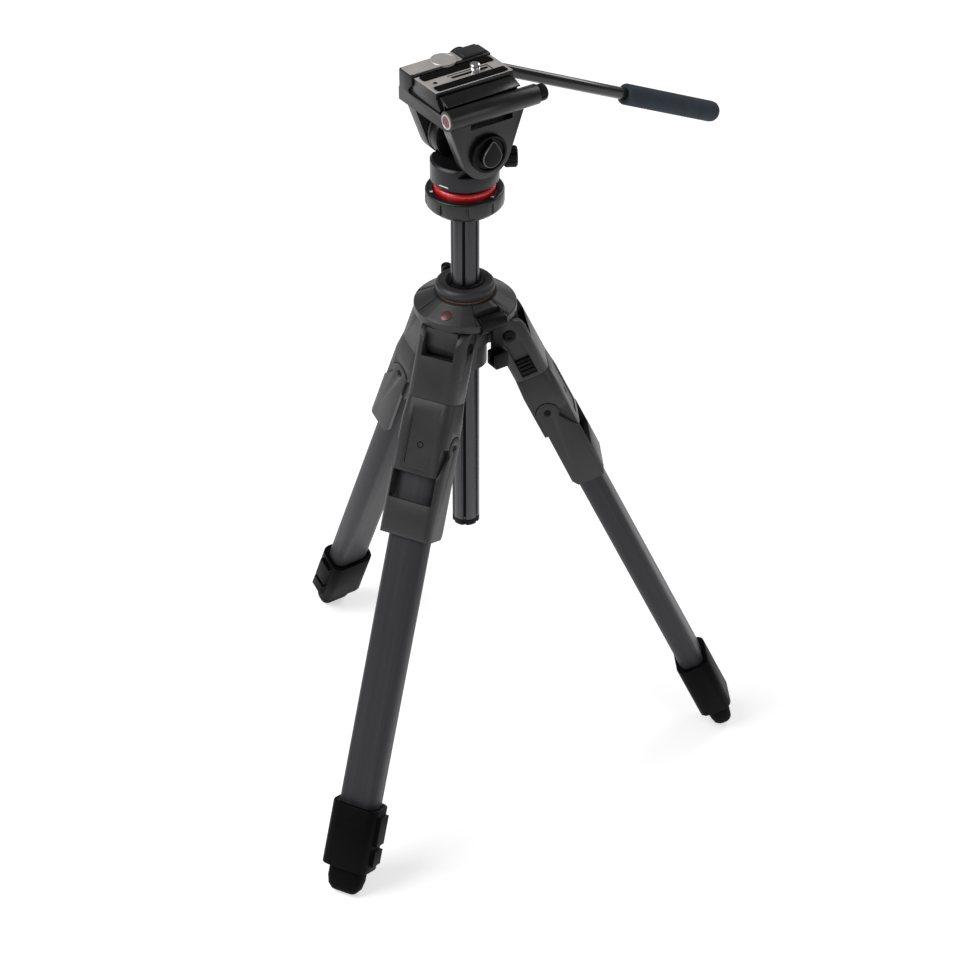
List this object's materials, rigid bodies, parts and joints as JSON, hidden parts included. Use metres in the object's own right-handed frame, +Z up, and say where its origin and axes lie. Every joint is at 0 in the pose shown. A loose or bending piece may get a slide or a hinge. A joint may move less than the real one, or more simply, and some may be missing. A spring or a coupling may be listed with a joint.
{
  "type": "tripod with fluid video head",
  "caption": "Folding three-leg tripod with a sliding grooved centre column and a fluid pan and tilt head with quick-release plate and pan bar.",
  "frame": {"origin": "middle of the bounding box's bottom face, at floor level", "axes": "+Z up along the centre column; one leg points to -Y, the tilt axis lies 30 degrees below +X in plan"},
  "size_m": [0.4736, 0.57, 0.7366],
  "materials": {
    "cast_grey": "die cast, satin dark grey powder coat",
    "dark_plastic": "matt dark grey",
    "black_rubber": "matt black",
    "grey_tube": "satin grey anodised",
    "inner_tube": "satin anodised",
    "steel": "bright steel",
    "red": "gloss red",
    "light_grey": "satin light grey",
    "black_gloss": "black anodised",
    "bronze": "sintered bronze",
    "blue_grey_foam": "blue-grey foam rubber"
  },
  "bodies": {
    "apex": {"apex_casting": "cast_grey", "apex_crown": "cast_grey", "apex_level": "light_grey", "column_collar": "cast_grey", "column_bush": "dark_plastic", "column_lever_pin": "steel"},
    "leg_front": {"leg_front_casting": "cast_grey", "leg_front_hinge_pin": "steel", "leg_front_lever_housing": "cast_grey", "leg_front_outer_tube": "grey_tube", "leg_front_lower_casting": "dark_plastic"},
    "leg_front_mid_section": {"leg_front_mid_tube": "inner_tube"},
    "leg_front_inner_section": {"leg_front_inner_tube": "inner_tube", "leg_front_foot": "black_rubber"},
    "leg_front_release": {"leg_front_release_lever": "cast_grey"},
    "leg_front_button": {"leg_front_angle_button": "dark_plastic"},
    "leg_right": {"leg_right_casting": "cast_grey", "leg_right_hinge_pin": "steel", "leg_right_lever_housing": "cast_grey", "leg_right_outer_tube": "grey_tube", "leg_right_lower_casting": "dark_plastic"},
    "leg_right_mid_section": {"leg_right_mid_tube": "inner_tube"},
    "leg_right_inner_section": {"leg_right_inner_tube": "inner_tube", "leg_right_foot": "black_rubber"},
    "leg_right_release": {"leg_right_release_lever": "cast_grey"},
    "leg_right_button": {"leg_right_angle_button": "dark_plastic"},
    "leg_left": {"leg_left_casting": "cast_grey", "leg_left_hinge_pin": "steel", "leg_left_lever_housing": "cast_grey", "leg_left_outer_tube": "grey_tube", "leg_left_lower_casting": "dark_plastic"},
    "leg_left_mid_section": {"leg_left_mid_tube": "inner_tube"},
    "leg_left_inner_section": {"leg_left_inner_tube": "inner_tube", "leg_left_foot": "black_rubber"},
    "leg_left_release": {"leg_left_release_lever": "cast_grey"},
    "leg_left_button": {"leg_left_angle_button": "dark_plastic"},
    "column": {"column_tube": "grey_tube", "column_end_cap": "dark_plastic", "head_clamp_plate": "dark_plastic", "head_flange": "dark_plastic", "pan_index_ring": "red"},
    "column_lever": {"column_lever": "dark_plastic"},
    "clamp_ring": {"head_clamp_ring": "cast_grey"},
    "pan_body": {"head_body": "cast_grey", "pan_bearing": "bronze", "counterbalance_cartridge": "steel"},
    "pan_lock": {"pan_lock_knob": "dark_plastic"},
    "tilt_body": {"tilt_platform": "cast_grey", "tilt_shaft": "steel", "head_level_disc": "light_grey"},
    "tilt_lock": {"tilt_lock_knob": "dark_plastic"},
    "camera_plate": {"quick_release_plate": "black_gloss"},
    "camera_screw": {"camera_screw": "steel"},
    "plate_jaw": {"plate_jaw": "dark_plastic"},
    "plate_knob": {"plate_lock_knob": "dark_plastic"},
    "plate_release": {"plate_release_button": "dark_plastic"},
    "pan_bar": {"pan_bar_clamp": "dark_plastic", "pan_bar": "black_gloss", "pan_bar_grip": "blue_grey_foam"}
  },
  "joints": [
    {"name": "leg_front_spread", "type": "hinge", "parent": "apex", "child": "leg_front", "pos_m": [0, -0.05719, 0.47943], "axis": [-1, 0, 0], "range_deg": [-24.9, 60]},
    {"name": "leg_front_mid_extend", "type": "slide", "parent": "leg_front", "child": "leg_front_mid_section", "axis": [0, -0.421, -0.907], "range_m": [0, 0.33]},
    {"name": "leg_front_inner_extend", "type": "slide", "parent": "leg_front_mid_section", "child": "leg_front_inner_section", "axis": [0, -0.421, -0.907], "range_m": [0, 0.33]},
    {"name": "leg_front_release_swing", "type": "hinge", "parent": "leg_front", "child": "leg_front_release", "pos_m": [0, -0.09278, 0.39563], "axis": [-1, 0, 0], "range_deg": [0, 38]},
    {"name": "leg_front_button_slide", "type": "slide", "parent": "leg_front", "child": "leg_front_button", "axis": [0, 0.421, 0.907], "range_m": [0, 0.018]},
    {"name": "leg_right_spread", "type": "hinge", "parent": "apex", "child": "leg_right", "pos_m": [0.03291, -0.00019, 0.47943], "axis": [0.5, -0.866, 0], "range_deg": [-24.9, 60]},
    {"name": "leg_right_mid_extend", "type": "slide", "parent": "leg_right", "child": "leg_right_mid_section", "axis": [0.3646, 0.2105, -0.907], "range_m": [0, 0.33]},
    {"name": "leg_right_inner_extend", "type": "slide", "parent": "leg_right_mid_section", "child": "leg_right_inner_section", "axis": [0.3646, 0.2105, -0.907], "range_m": [0, 0.33]},
    {"name": "leg_right_release_swing", "type": "hinge", "parent": "leg_right", "child": "leg_right_release", "pos_m": [0.06373, 0.01761, 0.39563], "axis": [0.5, -0.866, 0], "range_deg": [0, 38]},
    {"name": "leg_right_button_slide", "type": "slide", "parent": "leg_right", "child": "leg_right_button", "axis": [-0.3646, -0.2105, 0.907], "range_m": [0, 0.018]},
    {"name": "leg_left_spread", "type": "hinge", "parent": "apex", "child": "leg_left", "pos_m": [-0.03291, -0.00019, 0.47943], "axis": [0.5, 0.866, 0], "range_deg": [-24.9, 60]},
    {"name": "leg_left_mid_extend", "type": "slide", "parent": "leg_left", "child": "leg_left_mid_section", "axis": [-0.3646, 0.2105, -0.907], "range_m": [0, 0.33]},
    {"name": "leg_left_inner_extend", "type": "slide", "parent": "leg_left_mid_section", "child": "leg_left_inner_section", "axis": [-0.3646, 0.2105, -0.907], "range_m": [0, 0.33]},
    {"name": "leg_left_release_swing", "type": "hinge", "parent": "leg_left", "child": "leg_left_release", "pos_m": [-0.06373, 0.01761, 0.39563], "axis": [0.5, 0.866, 0], "range_deg": [0, 38]},
    {"name": "leg_left_button_slide", "type": "slide", "parent": "leg_left", "child": "leg_left_button", "axis": [0.3646, -0.2105, 0.907], "range_m": [0, 0.018]},
    {"name": "column_height", "type": "slide", "parent": "apex", "child": "column", "axis": [0, 0, 1], "range_m": [-0.07, 0.165]},
    {"name": "column_lever_swing", "type": "hinge", "parent": "apex", "child": "column_lever", "pos_m": [0.03551, -0.03969, 0.50213], "axis": [-0.5, -0.866, 0], "range_deg": [0, 100]},
    {"name": "clamp_ring_turn", "type": "hinge", "parent": "column", "child": "clamp_ring", "pos_m": [0, -0.01919, 0.60113], "axis": [0, 0, 1], "range_deg": [0, 30]},
    {"name": "pan", "type": "hinge", "parent": "column", "child": "pan_body", "pos_m": [0, -0.01919, 0.60113], "axis": [0, 0, 1], "continuous": true},
    {"name": "pan_lock_turn", "type": "hinge", "parent": "pan_body", "child": "pan_lock", "pos_m": [0.02927, -0.00229, 0.64913], "axis": [0.866, 0.5, 0], "range_deg": [0, 180]},
    {"name": "tilt", "type": "hinge", "parent": "pan_body", "child": "tilt_body", "pos_m": [0, -0.01919, 0.67013], "axis": [0.866, -0.5, 0], "range_deg": [-40, 70]},
    {"name": "tilt_lock_turn", "type": "hinge", "parent": "tilt_body", "child": "tilt_lock", "pos_m": [0.03057, -0.03684, 0.67013], "axis": [0.866, -0.5, 0], "range_deg": [-90, 90]},
    {"name": "plate_slide", "type": "slide", "parent": "tilt_body", "child": "camera_plate", "axis": [0.5, 0.866, 0], "range_m": [-0.03, 0.03]},
    {"name": "camera_screw_turn", "type": "hinge", "parent": "camera_plate", "child": "camera_screw", "pos_m": [0.00488, -0.00873, 0.67013], "axis": [0, 0, 1], "continuous": true},
    {"name": "plate_knob_turn", "type": "hinge", "parent": "tilt_body", "child": "plate_knob", "pos_m": [0.05503, 0.00712, 0.71113], "axis": [0.5, 0.866, 0], "range_deg": [0, 180]},
    {"name": "plate_jaw_slide", "type": "slide", "parent": "tilt_body", "child": "plate_jaw", "axis": [0.866, -0.5, 0], "range_m": [0, 0.002]},
    {"name": "plate_release_press", "type": "slide", "parent": "tilt_body", "child": "plate_release", "axis": [0, 0, -1], "range_m": [0, 0.002], "stiffness_N_per_m": 300, "springref_m": -0.002},
    {"name": "pan_bar_angle", "type": "hinge", "parent": "tilt_body", "child": "pan_bar", "pos_m": [-0.02813, 0.03169, 0.71263], "axis": [0.866, -0.5, 0], "range_deg": [-15, 75]}
  ],
  "couplings": [
    {"joint": "plate_knob_turn", "follows": "plate_jaw_slide", "rad_per_m": 1570.8}
  ]
}
